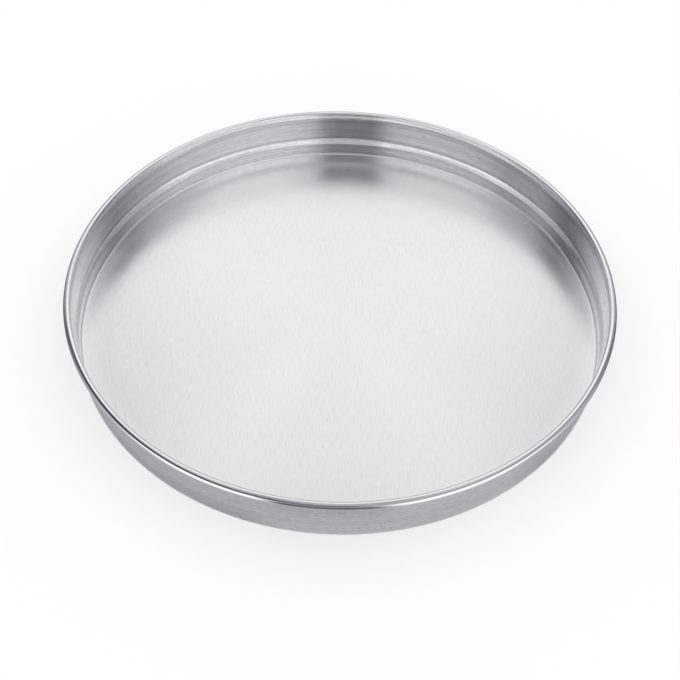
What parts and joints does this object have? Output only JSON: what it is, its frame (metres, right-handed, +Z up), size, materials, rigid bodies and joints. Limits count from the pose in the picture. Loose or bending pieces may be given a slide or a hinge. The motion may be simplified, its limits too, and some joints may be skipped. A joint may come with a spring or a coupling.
{
  "type": "round cake pan",
  "caption": "Shallow round metal baking pan with a flat floor, a stacking shoulder in the wall and an outward-curled rim closed round a wire.",
  "frame": {"origin": "centre of the underside of the floor", "axes": "+Z up along the pan's axis of revolution, towards the open rim; the wire's cut ends are at +X"},
  "size_m": [0.305, 0.305, 0.032],
  "materials": {
    "pan_sheet": "satin, fine spun lines on the wall and fine straight brushing on the floor",
    "wire": "plain drawn wire"
  },
  "bodies": {
    "root": {"pan_body": "pan_sheet", "rim_wire": "wire"}
  },
  "joints": []
}
